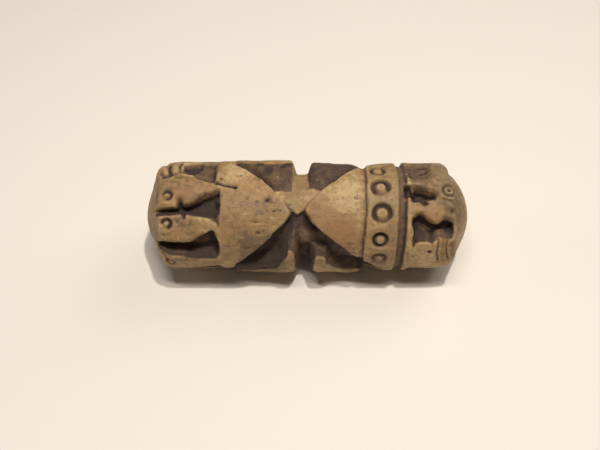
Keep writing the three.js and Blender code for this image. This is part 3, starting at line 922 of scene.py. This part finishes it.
@dataclass
class SealBody:
    """The seal's solid, as a field of signed distances read from its plan.

    Attributes:
        left_dome: The radius of the left end's dome, in millimetres.
        right_dome: The radius of the right end's dome.
        half_length: Half the seal's length.
        wedge_lean: How far a wedge's wall leans out for each millimetre that it goes down.
        fillet: The width over which walls run into the core.
        end_fillet: How much wider that is near the two ends.
        foot: How far below the core a leaning wall still leans.
        dome_blend: The width over which the core's side runs into its domes.
        cell: The size of the mesh's cells.
        margin: The space that is meshed round the seal.
        near_reach: How many cells off the clay is looked for, to find corners and worn edges.
        wide_reach: How many cells off it is looked for, to find spots that are shut in.
    """

    plan: Plan
    left_dome: float = 12.5
    right_dome: float = 14.0
    half_length: float = 40.0
    wedge_lean: float = 0.36
    fillet: float = 0.55
    end_fillet: float = 1.3
    foot: float = 0.6
    dome_blend: float = 0.8
    cell: float = 0.368
    margin: float = 1.5
    near_reach: int = 2
    wide_reach: int = 6

    def unroll(self, points: Array) -> tuple[Array, Array, Array]:
        """Each point's place along the axis, its turn and its radius.

        Args:
            points: Places in millimetres, as rows of x, y and z.

        Returns:
            Three arrays, in millimetres, degrees and millimetres.
        """
        x, y, z = points.T
        up = z - AXIS_HEIGHT
        return x, np.degrees(np.arctan2(up, -y)) - FRONT_LEAN, np.hypot(y, up)

    def core(self, x: Array, radius: Array, floor: Array) -> Array:
        """Distance to the core with its domed ends.

        Args:
            x: Places along the axis, in millimetres.
            radius: Distances from the axis.
            floor: The radius of the hollows' floor at each place.

        Returns:
            Signed distances, negative in the core.
        """
        left_centre = self.left_dome - self.half_length
        right_centre = self.half_length - self.right_dome
        left = np.where(x < left_centre, np.hypot(x - left_centre, radius), radius) - self.left_dome
        right = np.where(x > right_centre, np.hypot(x - right_centre, radius), radius) - self.right_dome
        return soft_max(radius - floor, np.maximum(left, right), self.dome_blend)

    def raised(
        self, radius: Array, top: Array, edge: Array, lean: Array | float, soft: Array
    ) -> Array:
        """Distance to relief whose walls lean out from its top's edge down to the core.

        Args:
            radius: Distances from the axis.
            top: The relief's radius at each place.
            edge: Distance to its edge over the unrolled surface, negative on it.
            lean: How far its walls lean out for each millimetre that they go down.
            soft: The width over which its edges are rounded.

        Returns:
            Signed distances, negative in the relief.
        """
        down = np.minimum(top - radius, CARVED_RADIUS - CORE_RADIUS + self.foot)
        return soft_max(radius - top, (edge - lean * down) / np.hypot(1, lean), soft)

    def distance(self, points: Array) -> Array:
        """Signed distance to the seal's surface, negative in the clay.

        Args:
            points: Places in millimetres, as rows of x, y and z.

        Returns:
            One distance in millimetres for each point.
        """
        x, turn, radius = self.unroll(points)
        read = partial(self.plan.read, x=x, turn=turn)
        soft = read("softness")
        raised = self.raised(radius, read("top"), read("edge"), read("lean"), soft)
        wedge = self.raised(radius, read("wedge_top"), read("wedge_edge"), self.wedge_lean, soft)
        relief = np.minimum(raised, wedge)
        fillet = self.fillet + self.end_fillet * smooth_step(np.abs(x), 33.5, 36.0)
        clay = soft_min(self.core(x, radius, read("floor")), relief, fillet)
        return np.maximum(clay, -points[:, 2])

    def settle(self, vertices: Array, rounds: int = 3, nudge: float = 0.04) -> Array:
        """Moves vertices onto the surface itself, a little at a time.

        Args:
            vertices: Vertices near the surface.
            rounds: How many times to move them.
            nudge: The step over which the field's slope is measured.

        Returns:
            The moved vertices.
        """
        for _ in range(rounds):
            here = self.distance(vertices)
            rises = [self.distance(vertices + nudge * axis) - here for axis in np.eye(3)]
            slope = np.stack(rises, axis=1) / nudge
            step = here[:, None] * slope / np.maximum((slope**2).sum(1), 0.3)[:, None]
            length = np.linalg.norm(step, axis=1, keepdims=True)
            vertices = vertices - step * np.minimum(1, 0.3 * self.cell / np.maximum(length, 1e-9))
        return vertices

    def build(self) -> tuple[Array, Array, dict[str, Array]]:
        """Meshes the seal.

        Returns:
            The vertices in millimetres, the quads, and a named value for each vertex.
        """
        low = np.array([-self.half_length, -CARVED_RADIUS, 0]) - self.margin
        high = np.array([self.half_length, CARVED_RADIUS, AXIS_HEIGHT + CARVED_RADIUS]) + self.margin
        net = Net(low, high, self.cell)
        points, counts = net.lattice()
        values = self.distance(points).reshape(counts)
        vertices, quads = net.cast(values)
        vertices = self.settle(vertices)
        return vertices, quads, self.surface_marks(vertices, values, net)

    def surface_marks(self, vertices: Array, values: Array, net: Net) -> dict[str, Array]:
        """Where each vertex is sunk, shut in, worn and soiled, for the weathering, the finish and its painted
        shade.

        Args:
            vertices: The mesh's vertices.
            values: The field on the net's lattice.
            net: The net that the mesh was cast from.

        Returns:
            A value for each vertex, under each mark's name.
        """
        x, turn, radius = self.unroll(vertices)
        read = partial(self.plan.read, x=x, turn=turn)
        outer = x + 1.3 * falloff(turn_from(turn, 55), 34)
        ends = smooth_step(x, -36.5, -34.5) * (1 - smooth_step(outer, 34.3, 35.3))
        top = read("top") + read("sunk")
        recess = np.clip((top - radius) / np.maximum(top - read("floor"), 1), 0, 1) * ends
        clay = np.clip(0.5 - values / net.cell, 0, 1)
        near = self.share_of_clay(clay, self.near_reach, vertices, net)
        wide = self.share_of_clay(clay, self.wide_reach, vertices, net)
        return {
            "recess": recess,
            # The finish paints shade into corners and shut-in spots by these two.
            "hollow": near * 2 - 1,
            "shut_in": wide * 2 - 1,
            "soil_and_shade": self.soil_and_shade(x, turn, recess),
            "warmth": read("warmth"),
            "paleness": read("paleness"),
            # The finish darkens sunk grooves, rings and pits by this: painted shade and earth.
            "pressed": np.clip(read("sunk") / 0.8, 0, 1) * (1 - recess * 0.5),
        }

    def soil_and_shade(self, x: Array, turn: Array, recess: Array) -> Array:
        """How much earth lies on each vertex, most on walls facing up the turn, and painted shade on wedge
        slopes.

        Args:
            x: Places along the axis, in millimetres.
            turn: Turns, in degrees.
            recess: How far down its hollow each vertex lies, from 0 to 1.

        Returns:
            An amount from 0 to 1.2.
        """
        above = np.clip(self.plan.read("edge", x, turn + 4.0) / 1.2, 0, 1)
        caught = smooth_step(recess, 0.02, 0.12) * smooth_step(0.5 * recess + 0.5 * above, 0.1, 0.48)
        # Earth staining and painted shade on the darkened wedge slopes.
        stained_and_shaded = self.plan.read("stain_and_shade", x, turn) * smooth_step(recess, 0.02, 0.1)
        return np.maximum(np.clip(self.plan.read("earth", x, turn), 0, 1.2) * caught, stained_and_shaded)

    @staticmethod
    def share_of_clay(clay: Array, reach: int, vertices: Array, net: Net) -> Array:
        """The share of the space round each vertex that is clay, within a reach in cells.

        Args:
            clay: How much of each lattice cell is clay.
            reach: How far off to look, in cells.
            vertices: The places to look round.
            net: The net that the lattice belongs to.

        Returns:
            A share from 0 to 1 for each vertex.
        """
        blurred = clay
        for axis in range(3):
            padding = [(reach + 1, reach) if a == axis else (0, 0) for a in range(3)]
            summed = np.cumsum(np.pad(blurred, padding, mode="edge"), axis=axis)
            size = summed.shape[axis]
            ahead = np.take(summed, range(2 * reach + 1, size), axis=axis)
            behind = np.take(summed, range(0, size - 2 * reach - 1), axis=axis)
            blurred = (ahead - behind) / (2 * reach + 1)
        place = (vertices - net.low) / net.cell
        base = np.minimum(place.astype(int), np.array(clay.shape) - 2)
        return sum(weight * blurred[tuple(cells.T)] for cells, weight in cell_corners(base, place - base))


# ---------------------------------------------------------------- node trees


@dataclass
class TreeBuilder:
    """Adds nodes to a tree and joins them, so that a tree reads as a list of steps."""

    tree: bpy.types.NodeTree

    def add(self, kind: str, inputs: dict | None = None, **settings: object) -> bpy.types.Node:
        """Adds a node.

        Args:
            kind: The node's type.
            inputs: A value or an output socket for each input, by its name or number.
            settings: The node's own properties.

        Returns:
            The new node.
        """
        node = self.tree.nodes.new(kind)
        for name, value in settings.items():
            setattr(node, name, value)
        for key, value in (inputs or {}).items():
            socket = node.inputs[key]
            if isinstance(value, bpy.types.NodeSocket):
                self.tree.links.new(value, socket)
            else:
                socket.default_value = value
        return node

    def maths(self, operation: str, *values: object, clamp: bool = False) -> Socket:
        """Takes the values one after another through a chain of Math nodes.

        Args:
            operation: What each node does.
            values: Two or more numbers or output sockets.
            clamp: Whether to hold the outcome between 0 and 1.

        Returns:
            The last node's output.
        """
        chained = values[0]
        for value in values[1:]:
            node = self.add("ShaderNodeMath", {0: chained, 1: value}, operation=operation, use_clamp=clamp)
            chained = node.outputs[0]
        return chained

    def times(self, first: object, second: object) -> Socket:
        """The product of two values."""
        return self.maths("MULTIPLY", first, second)

    def total(self, *parts: tuple[object, object]) -> Socket:
        """The sum of values, each multiplied by its weight."""
        return self.maths("ADD", *(self.times(value, weight) for value, weight in parts))

    def drawn_out(self, place: object, share: float) -> Socket:
        """Coordinates whose x counts for a share only, which draws a texture out along the axis."""
        drawn = self.add("ShaderNodeVectorMath", {0: place, 1: (share, 1.0, 1.0)}, operation="MULTIPLY")
        return drawn.outputs[0]

    def spread(
        self, value: object, low: float, high: float, to_low: float = 0.0, to_high: float = 1.0
    ) -> Socket:
        """A value's range from low to high, spread smoothly over another range.

        Args:
            value: The value.
            low: The low end of its range.
            high: The high end.
            to_low: What the low end becomes.
            to_high: What the high end becomes.

        Returns:
            The spread value.
        """
        ends = {"From Min": low, "From Max": high, "To Min": to_low, "To Max": to_high}
        node = self.add("ShaderNodeMapRange", {"Value": value, **ends}, interpolation_type="SMOOTHSTEP")
        return node.outputs["Result"]


@dataclass
class Weathering:
    """A Geometry Nodes tree that roughens and pits the clay, more in the hollows than on the worn tops."""

    material: bpy.types.Material
    grain_height: float = 0.035 * MM
    floor_grain_height: float = 0.13 * MM
    grain_size: float = 0.9 * MM
    pit_depth: float = 0.22 * MM
    pit_spacing: float = 3.4 * MM
    drag_height: float = 0.028 * MM
    seed: float = 4.0
    name: str = "weathering"

    SIZES = (
        "grain_height", "floor_grain_height", "grain_size", "pit_depth", "pit_spacing", "drag_height", "seed",
    )

    @staticmethod
    def label(size: str) -> str:
        """The name of the tree's input for one of the sizes."""
        return size.replace("_", " ").title()

    def tree(self) -> bpy.types.NodeTree:
        """Builds the tree with its named inputs.

        Returns:
            The tree.
        """
        group = bpy.data.node_groups.new(self.name, "GeometryNodeTree")
        face = group.interface
        sizes = [(self.label(size), "Float") for size in self.SIZES]
        for label, kind in (("Geometry", "Geometry"), *sizes, ("Material", "Material")):
            face.new_socket(label, in_out="INPUT", socket_type="NodeSocket" + kind)
        face.new_socket("Geometry", in_out="OUTPUT", socket_type="NodeSocketGeometry")
        build = TreeBuilder(group)
        given = build.add("NodeGroupInput").outputs
        place, normal = (build.add("GeometryNodeInput" + kind).outputs[0] for kind in ("Position", "Normal"))
        named = build.add("GeometryNodeInputNamedAttribute", {"Name": "recess"}, data_type="FLOAT")
        recess = named.outputs[0]
        raised = (self._grain(build, given, place, recess), self._drag(build, given, place, recess))
        height = build.maths("SUBTRACT", build.maths("ADD", *raised), self._pits(build, given, place))
        shift = build.add("ShaderNodeVectorMath", {0: normal, "Scale": height}, operation="SCALE").outputs[0]
        moved = build.add("GeometryNodeSetPosition", {"Geometry": given["Geometry"], "Offset": shift})
        whole = build.add("GeometryNodeRealizeInstances", {"Geometry": moved.outputs[0]})
        inputs = {"Geometry": whole.outputs[0], "Material": given["Material"]}
        dressed = build.add("GeometryNodeSetMaterial", inputs)
        build.add("NodeGroupOutput", {"Geometry": dressed.outputs[0]})
        return group

    @staticmethod
    def _noise(build: TreeBuilder, place: object, size: object, seed: object, detail: float) -> Socket:
        """Noise centred on 0, with lumps of a size.

        Args:
            build: The builder of the tree that the nodes go into.
            place: The places at which the texture is read.
            size: The size of its lumps.
            seed: Picks one noise among many.
            detail: How many finer layers it has.

        Returns:
            A value from about -0.5 to 0.5.
        """
        scale = build.maths("DIVIDE", 1.0, size)
        inputs = {"Vector": place, "W": seed, "Scale": scale, "Detail": detail}
        node = build.add("ShaderNodeTexNoise", inputs, noise_dimensions="4D")
        return build.maths("SUBTRACT", node.outputs[0], 0.5)

    def _grain(self, build: TreeBuilder, given: object, place: object, recess: object) -> Socket:
        """The clay's grain, rougher on the floors.

        Args:
            build: The builder of the tree that the nodes go into.
            given: The tree's own inputs.
            place: The places at which the texture is read.
            recess: How far down its hollow each vertex lies, from 0 to 1.

        Returns:
            A height in metres.
        """
        noise = self._noise(build, place, given["Grain Size"], given["Seed"], 3.0)
        gain = build.maths("SUBTRACT", given["Floor Grain Height"], given["Grain Height"])
        height = build.maths("ADD", given["Grain Height"], build.times(gain, recess))
        return build.times(noise, build.times(height, 2.0))

    def _drag(self, build: TreeBuilder, given: object, place: object, recess: object) -> Socket:
        """Faint lines along the axis where a tool dragged over the wet tops.

        Args:
            build: The builder of the tree that the nodes go into.
            given: The tree's own inputs.
            place: The places at which the texture is read.
            recess: How far down its hollow each vertex lies, from 0 to 1.

        Returns:
            A height in metres.
        """
        noise = self._noise(build, build.drawn_out(place, 0.12), 0.7 * MM, given["Seed"], 1.0)
        on_top = build.maths("SUBTRACT", 1.0, recess, clamp=True)
        return build.times(noise, build.times(given["Drag Height"], on_top))

    @staticmethod
    def _pits(build: TreeBuilder, given: object, place: object) -> Socket:
        """Scattered round pits, in about a third of the cells.

        Args:
            build: The builder of the tree that the nodes go into.
            given: The tree's own inputs.
            place: The places at which the texture is read.

        Returns:
            A depth in metres.
        """
        scale = build.maths("DIVIDE", 1.0, given["Pit Spacing"])
        inputs = {"Vector": place, "W": given["Seed"], "Scale": scale, "Randomness": 1.0}
        node = build.add("ShaderNodeTexVoronoi", inputs, voronoi_dimensions="4D")
        bowl = build.spread(node.outputs["Distance"], 0.05, 0.17, 1.0, 0.0)
        picked = build.add("ShaderNodeSeparateXYZ", {0: node.outputs["Color"]}).outputs[0]
        chosen = build.spread(picked, 0.5, 0.9)
        return build.times(given["Pit Depth"], build.times(bowl, chosen))

    def apply(self, piece: bpy.types.Object) -> None:
        """Weathers a piece and leaves it a plain mesh.

        Args:
            piece: A mesh object whose vertices carry the recess attribute.
        """
        group = self.tree()
        modifier = piece.modifiers.new(self.name, "NODES")
        modifier.node_group = group
        items = group.interface.items_tree
        sockets = {item.name: item.identifier for item in items if item.in_out == "INPUT"}
        for size in self.SIZES:
            modifier[sockets[self.label(size)]] = getattr(self, size)
        modifier[sockets["Material"]] = self.material
        graph = bpy.context.evaluated_depsgraph_get()
        weathered = bpy.data.meshes.new_from_object(piece.evaluated_get(graph), depsgraph=graph)
        piece.modifiers.clear()
        piece.data = weathered


# ---------------------------------------------------------------- finishes


@dataclass
class ClayNodes(TreeBuilder):
    """Adds the clay's nodes, which all start from a place on the piece."""

    place: Socket

    def attribute(self, name: str) -> Socket:
        """A value that the piece carries on its vertices."""
        return self.add("ShaderNodeAttribute", attribute_name=name).outputs["Fac"]

    def noise(
        self, size: float, detail: float, seed: float = 0.0, rough: float = 0.55, share: float = 1.0
    ) -> Socket:
        """Noise from 0 to 1.

        Args:
            size: The size of its lumps, in millimetres.
            detail: How many finer layers it has.
            seed: Picks one noise among many.
            rough: How strong the finer layers are.
            share: How much the x coordinate counts for. Less than 1 draws the noise out along the axis.

        Returns:
            The noise's output.
        """
        place = self.place if share == 1.0 else self.drawn_out(self.place, share)
        inputs = {"Vector": place, "W": seed, "Scale": 1 / (size * MM), "Detail": detail, "Roughness": rough}
        return self.add("ShaderNodeTexNoise", inputs, noise_dimensions="4D").outputs[0]

    def mix(self, share: object, first: object, second: object) -> Socket:
        """Two colours mixed by a share."""
        first, second = ((*c, 1.0) if isinstance(c, tuple) else c for c in (first, second))
        return self.add("ShaderNodeMix", {0: share, 6: first, 7: second}, data_type="RGBA").outputs[2]

    def pocks(self) -> Socket:
        """Small uneven pocks, thickly scattered in some places and missing in others, from 0 to 1.

        Returns:
            1 in a pock and 0 outside.
        """
        scales = [{"Vector": self.place, "Scale": 1 / (size * MM), "Detail": 2.0} for size in (1.2, 6.0)]
        uneven, crowd = (self.add("ShaderNodeTexNoise", scale).outputs for scale in scales)
        shift = {0: uneven["Color"], "Scale": 0.9 * MM}
        bent = self.add("ShaderNodeVectorMath", shift, operation="SCALE").outputs[0]
        moved = self.add("ShaderNodeVectorMath", {0: self.place, 1: bent}, operation="ADD").outputs[0]
        cells = {"Vector": self.drawn_out(moved, 0.7), "Scale": 1 / (1.25 * MM)}
        node = self.add("ShaderNodeTexVoronoi", cells)
        hole = self.spread(node.outputs["Distance"], 0.06, 0.24, 1.0, 0.0)
        chance = self.add("ShaderNodeSeparateColor", {0: node.outputs["Color"]}).outputs[2]
        kept = self.maths("ADD", chance, self.times(crowd[0], 0.9))
        return self.times(hole, self.spread(kept, 1.02, 1.3))


@dataclass(frozen=True)
class ClayFinish:
    """Worn fired clay: tan with warmer and greyer areas, earth and painted shade in hollows, a faint burnish.
    """

    dull: Colour = (0.17, 0.112, 0.062)
    tan: Colour = (0.33, 0.208, 0.094)
    pale: Colour = (0.52, 0.375, 0.195)
    rust: Colour = (0.36, 0.19, 0.082)
    olive: Colour = (0.24, 0.185, 0.095)
    # earth and umber also colour the painted shade in corners, sunk marks and wedge slopes.
    earth: Colour = (0.056, 0.036, 0.030)
    umber: Colour = (0.130, 0.072, 0.047)
    chalk: Colour = (0.66, 0.57, 0.43)
    roughness: tuple[float, float] = (0.46, 0.72)
    shine: float = 0.36
    fleck_spacing: float = 1.2 * MM

    def build(self) -> bpy.types.Material:
        """Makes the material.

        Returns:
            The material.
        """
        material = bpy.data.materials.new("fired_clay")
        material.use_nodes = True
        tree = material.node_tree
        tree.nodes.clear()
        nodes = ClayNodes(tree, tree.nodes.new("ShaderNodeTexCoord").outputs["Object"])
        hollow = nodes.attribute("hollow")
        # Earth in the hollows, with painted shade in corners and sunk marks.
        earth_and_shade = self._earth_and_painted_shade(nodes, hollow)
        colour = self._wear(nodes, self._clay(nodes), hollow)
        colour = self._flecks(nodes, self._soiled_and_shaded(nodes, colour, earth_and_shade))
        rough = nodes.spread(nodes.noise(1.4, 3), 0.3, 0.7, *self.roughness)
        rough = nodes.maths("ADD", rough, nodes.times(earth_and_shade, 0.2), clamp=True)
        looks = {"Base Color": colour, "Roughness": rough, "Normal": self._bump(nodes, earth_and_shade)}
        shader = nodes.add("ShaderNodeBsdfPrincipled", {**looks, "Specular IOR Level": self.shine})
        nodes.add("ShaderNodeOutputMaterial", {"Surface": shader.outputs[0]})
        return material

    def _clay(self, nodes: ClayNodes) -> Socket:
        """The fired body: broad areas of dull, tan, pale, rust and olive, and a finer mottle.

        Args:
            nodes: The builder of the clay's nodes.

        Returns:
            The colour.
        """
        light = nodes.maths(
            "ADD",
            nodes.spread(nodes.noise(8, 4, 1.0), 0.28, 0.72, -0.45, 0.45),
            nodes.spread(nodes.noise(1.2, 5, 4.0, 0.72), 0.32, 0.68, -0.48, 0.48),
            nodes.attribute("paleness"),
            nodes.spread(nodes.noise(0.9, 3, 11.0, share=0.16), 0.3, 0.7, -0.2, 0.2),
        )
        colour = nodes.mix(nodes.spread(light, -0.8, 0.0), self.dull, self.tan)
        colour = nodes.mix(nodes.spread(light, 0.0, 1.0), colour, self.pale)
        hue = nodes.spread(nodes.noise(6, 4, 2.0), 0.3, 0.7, -0.6, 0.6)
        hue = nodes.maths("ADD", hue, nodes.attribute("warmth"))
        colour = nodes.mix(nodes.spread(hue, 0.0, 1.2, 0.0, 0.8), colour, self.rust)
        return nodes.mix(nodes.spread(hue, -0.9, -0.1, 0.6, 0.0), colour, self.olive)

    def _wear(self, nodes: ClayNodes, colour: Socket, hollow: Socket) -> Socket:
        """Edges that handling has rubbed paler.

        Args:
            nodes: The builder of the clay's nodes.
            colour: The colour so far.
            hollow: How far each spot lies in a corner, or with a negative value on an edge.

        Returns:
            The worn colour.
        """
        edge = nodes.spread(hollow, -0.45, -0.12, 1.0, 0.0)
        patchy = nodes.spread(nodes.noise(2.5, 3, 5.0), 0.35, 0.65, 0.15, 0.75)
        return nodes.mix(nodes.times(edge, patchy), colour, self.pale)

    @staticmethod
    def _earth_and_painted_shade(nodes: ClayNodes, hollow: Socket) -> Socket:
        """How much earth, and painted shade in corners and sunk marks, lies on each spot, from 0 to 1.

        Args:
            nodes: The builder of the clay's nodes.
            hollow: How far each spot lies in a corner, or with a negative value on an edge.

        Returns:
            The amount.
        """
        broken = nodes.maths("SUBTRACT", nodes.noise(1.6, 5, 6.0, 0.65), 0.5)
        held = nodes.total(
            (nodes.attribute("soil_and_shade"), 0.95),
            # Painted shade in corners and shut-in spots.
            (nodes.spread(hollow, 0.04, 0.4), 0.25),
            (nodes.spread(nodes.attribute("shut_in"), 0.02, 0.4), 0.1),
            # Painted shade and earth in sunk grooves, rings and pits.
            (nodes.attribute("pressed"), 0.6),
            (broken, 0.6),
        )
        return nodes.spread(held, 0.08, 0.98)

    def _soiled_and_shaded(self, nodes: ClayNodes, colour: Socket, earth_and_shade: Socket) -> Socket:
        """The clay with brown first and dark earth over it, for both earth and painted shade.

        Args:
            nodes: The builder of the clay's nodes.
            colour: The colour so far.
            earth_and_shade: How much earth lies on each spot, with its painted shade.

        Returns:
            The soiled and shaded colour.
        """
        brown = nodes.mix(nodes.spread(nodes.noise(2.0, 4, 7.0), 0.3, 0.7), self.umber, self.dull)
        colour = nodes.mix(nodes.spread(earth_and_shade, 0.0, 0.5, 0.0, 0.92), colour, brown)
        return nodes.mix(nodes.spread(earth_and_shade, 0.42, 0.95), colour, self.earth)

    def _flecks(self, nodes: ClayNodes, colour: Socket) -> Socket:
        """A few pale grains of temper, small dark specks and the pocks' shade.

        Args:
            nodes: The builder of the clay's nodes.
            colour: The colour so far.

        Returns:
            The flecked colour.
        """
        spacing = {"Vector": nodes.place, "Scale": 1 / self.fleck_spacing}
        cells = nodes.add("ShaderNodeTexVoronoi", spacing).outputs
        pick = nodes.add("ShaderNodeSeparateColor", {0: cells["Color"]}).outputs
        spot = nodes.spread(cells["Distance"], 0.08, 0.2, 1.0, 0.0)
        pale = nodes.times(spot, nodes.spread(pick[0], 0.95, 0.99, 0.0, 0.6))
        dark = nodes.times(spot, nodes.spread(pick[1], 0.76, 0.95, 0.0, 0.75))
        pocks = nodes.times(nodes.pocks(), 0.6)
        for share, fleck in ((pale, self.chalk), (dark, self.umber), (pocks, self.umber)):
            colour = nodes.mix(share, colour, fleck)
        return colour

    @staticmethod
    def _bump(nodes: ClayNodes, earth_and_shade: Socket) -> Socket:
        """Fine grain, drag lines and crumbs too small for the mesh.

        Args:
            nodes: The builder of the clay's nodes.
            earth_and_shade: How much earth lies on each spot, with its painted shade.

        Returns:
            The bent normal.
        """
        height = nodes.total(
            (nodes.noise(0.45, 5, 8.0, 0.65), 0.5),
            (nodes.noise(0.4, 2, 9.0, share=0.1), 0.35),
            (nodes.times(nodes.noise(0.6, 4, 10.0, 0.7), earth_and_shade), 1.2),
            (nodes.pocks(), -0.9),
        )
        bump = nodes.add("ShaderNodeBump", {"Strength": 0.9, "Distance": 0.3 * MM, "Height": height})
        return bump.outputs[0]


@dataclass(frozen=True)
class TableFinish:
    """A plain pale table top."""

    colour: Colour = (0.88, 0.84, 0.79)
    roughness: float = 0.75
    shine: float = 0.2

    def build(self) -> bpy.types.Material:
        """Makes the material.

        Returns:
            The material.
        """
        material = bpy.data.materials.new("table")
        material.use_nodes = True
        inputs = material.node_tree.nodes["Principled BSDF"].inputs
        inputs["Base Color"].default_value = (*self.colour, 1.0)
        inputs["Roughness"].default_value = self.roughness
        inputs["Specular IOR Level"].default_value = self.shine
        return material


# ---------------------------------------------------------------- pieces and studio


def in_scene(name: str, data: bpy.types.ID) -> bpy.types.Object:
    """A new object, linked to the scene.

    Args:
        name: The object's name.
        data: The mesh, lamp or camera that it shows.

    Returns:
        The object.
    """
    thing = bpy.data.objects.new(name, data)
    bpy.context.scene.collection.objects.link(thing)
    return thing


@dataclass
class Seal:
    """The visible seal: its body meshed, weathered and dressed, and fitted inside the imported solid's box."""

    body: SealBody
    finish: ClayFinish

    def mesh(self) -> bpy.types.Object:
        """Makes the object with the values that its weathering and finish read.

        Returns:
            The object, not yet weathered.
        """
        vertices, quads, marks = self.body.build()
        mesh = bpy.data.meshes.new("seal_clay")
        mesh.from_pydata((vertices * MM).tolist(), [], quads.tolist())
        mesh.validate()
        for name, values in marks.items():
            layer = mesh.attributes.new(name, "FLOAT", "POINT")
            layer.data.foreach_set("value", values.astype(np.float32))
        return in_scene("seal_clay", mesh)

    @staticmethod
    def keep_in_box(piece: bpy.types.Object) -> None:
        """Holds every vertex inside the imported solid's box, so that the seal rests on its flat.

        Args:
            piece: The weathered piece.
        """
        low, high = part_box(NODE)
        places = np.zeros(len(piece.data.vertices) * 3, np.float32)
        piece.data.vertices.foreach_get("co", places)
        kept = np.clip(places.reshape(-1, 3), np.array(low), np.array(high))
        piece.data.vertices.foreach_set("co", kept.astype(np.float32).ravel())
        piece.data.shade_smooth()
        piece.data.update()

    def build(self) -> bpy.types.Object:
        """Builds the finished piece and hands it to the frame.

        Returns:
            The piece.
        """
        piece = self.mesh()
        Weathering(self.finish.build()).apply(piece)
        self.keep_in_box(piece)
        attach(piece, BODY)
        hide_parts(NODE)
        log.info("seal_clay: %d faces", len(piece.data.polygons))
        return piece


@dataclass
class Table:
    """The table top that the seal lies on."""

    half_width: float = 0.5
    finish: TableFinish = TableFinish()

    def build(self) -> bpy.types.Object:
        """Builds the table top, which isn't part of the object.

        Returns:
            The table top.
        """
        h = self.half_width
        mesh = bpy.data.meshes.new("table")
        mesh.from_pydata([(-h, -h, 0), (h, -h, 0), (h, h, 0), (-h, h, 0)], [], [(0, 1, 2, 3)])
        mesh.materials.append(self.finish.build())
        piece = in_scene("table", mesh)
        piece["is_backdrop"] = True
        log.info("table: stage")
        return piece


@dataclass
class Studio:
    """The lamp over the table, the soft light round it, and the camera.

    Attributes:
        elevation: How far above the horizontal the camera looks from, in degrees.
        distance: From the camera to the seal's long axis, in metres.
        lens: The lens's focal length, in millimetres.
        sensor: The sensor's width, in millimetres.
        aside: How far the seal's middle stands right of the view's middle, in metres.
        above: How far the seal's axis stands above the view's middle, in metres.
        lamps: The name, place, size and power of each lamp, in metres and watts.
    """

    elevation: float = FRONT_LEAN
    distance: float = 0.1915
    lens: float = 45.6
    sensor: float = 36.0
    aside: float = 1.8144 * MM
    above: float = 2.3688 * MM
    lamps: tuple[tuple, ...] = (
        ("spot", (0.055, -0.028, 0.45), (0.016, 0.016), 0.98),
        ("tube", (-0.02, -0.062, 0.45), (0.22, 0.016), 0.84),
        ("front", (0.0, -0.5, 0.16), (0.5, 0.15), 0.16),
        ("side", (-0.5, 0.05, 0.22), (0.2, 0.1), 0.2),
        ("back", (0.5, 0.4, 0.5), (0.6, 0.6), 2.0),
    )
    lamp_colour: Colour = (1.0, 0.925, 0.83)
    sky_colour: Colour = (1.0, 0.93, 0.86)
    sky_strength: float = 0.035
    backdrop_strength: float = 0.85

    def camera(self) -> None:
        """Places the camera and makes it the scene's."""
        lean = math.radians(self.elevation)
        forward = Vector((0, math.cos(lean), -math.sin(lean)))
        up = Vector((0, math.sin(lean), math.cos(lean)))
        right = Vector((1, 0, 0))
        middle = Vector((0, 0, AXIS_HEIGHT * MM)) - right * self.aside - up * self.above
        data = bpy.data.cameras.new("camera")
        data.lens = self.lens
        data.sensor_width = self.sensor
        data.clip_start = 0.005
        data.clip_end = 20
        camera = in_scene("camera", data)
        turn = Matrix((right, up, -forward)).transposed()
        camera.matrix_world = Matrix.Translation(middle - forward * self.distance) @ turn.to_4x4()
        bpy.context.scene.camera = camera

    def lamp(self, name: str, place: Vector, size: tuple[float, float], power: float) -> None:
        """Adds a rectangular lamp that shines on the seal.

        Args:
            name: Its name.
            place: Where it stands, in metres.
            size: Its width and height, in metres.
            power: Its power, in watts.
        """
        data = bpy.data.lights.new(name, "AREA")
        data.shape = "RECTANGLE"
        data.size, data.size_y = size
        data.energy = power
        data.color = self.lamp_colour
        lamp = in_scene(name, data)
        lamp.visible_camera = False
        aim = (Vector((0, 0, 0.01)) - place).to_track_quat("-Z", "Y")
        lamp.matrix_world = Matrix.Translation(place) @ aim.to_matrix().to_4x4()

    def sky(self) -> None:
        """Sets a dim light from all round, and a pale backdrop where the camera sees past the table."""
        world = bpy.data.worlds.new("studio")
        world.use_nodes = True
        world.node_tree.nodes.clear()
        build = TreeBuilder(world.node_tree)
        seen = build.add("ShaderNodeLightPath").outputs["Is Camera Ray"]
        strength = build.spread(seen, 0.0, 1.0, self.sky_strength, self.backdrop_strength)
        back = build.add("ShaderNodeBackground", {"Color": (*self.sky_colour, 1.0), "Strength": strength})
        build.add("ShaderNodeOutputWorld", {"Surface": back.outputs[0]})
        bpy.context.scene.world = world

    def build(self) -> None:
        """Builds the camera and every light."""
        self.camera()
        for name, place, size, power in self.lamps:
            self.lamp(name, Vector(place), size, power)
        self.sky()
        bpy.context.scene.view_settings.view_transform = "Standard"
        log.info("studio: camera and lights")


def main() -> None:
    """Builds the studio, the table and the seal, in that order."""
    logging.basicConfig(level=logging.INFO, format="%(name)s %(message)s")
    Studio().build()
    Table().build()
    plan = Plan(Carving())
    Seal(SealBody(plan), ClayFinish()).build()
    sizes = {"cad": cad_bounds, "visual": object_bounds()}
    {name: [list(map(float, corner)) for corner in box] for name, box in sizes.items()}


if __name__ == "__main__":
    main()
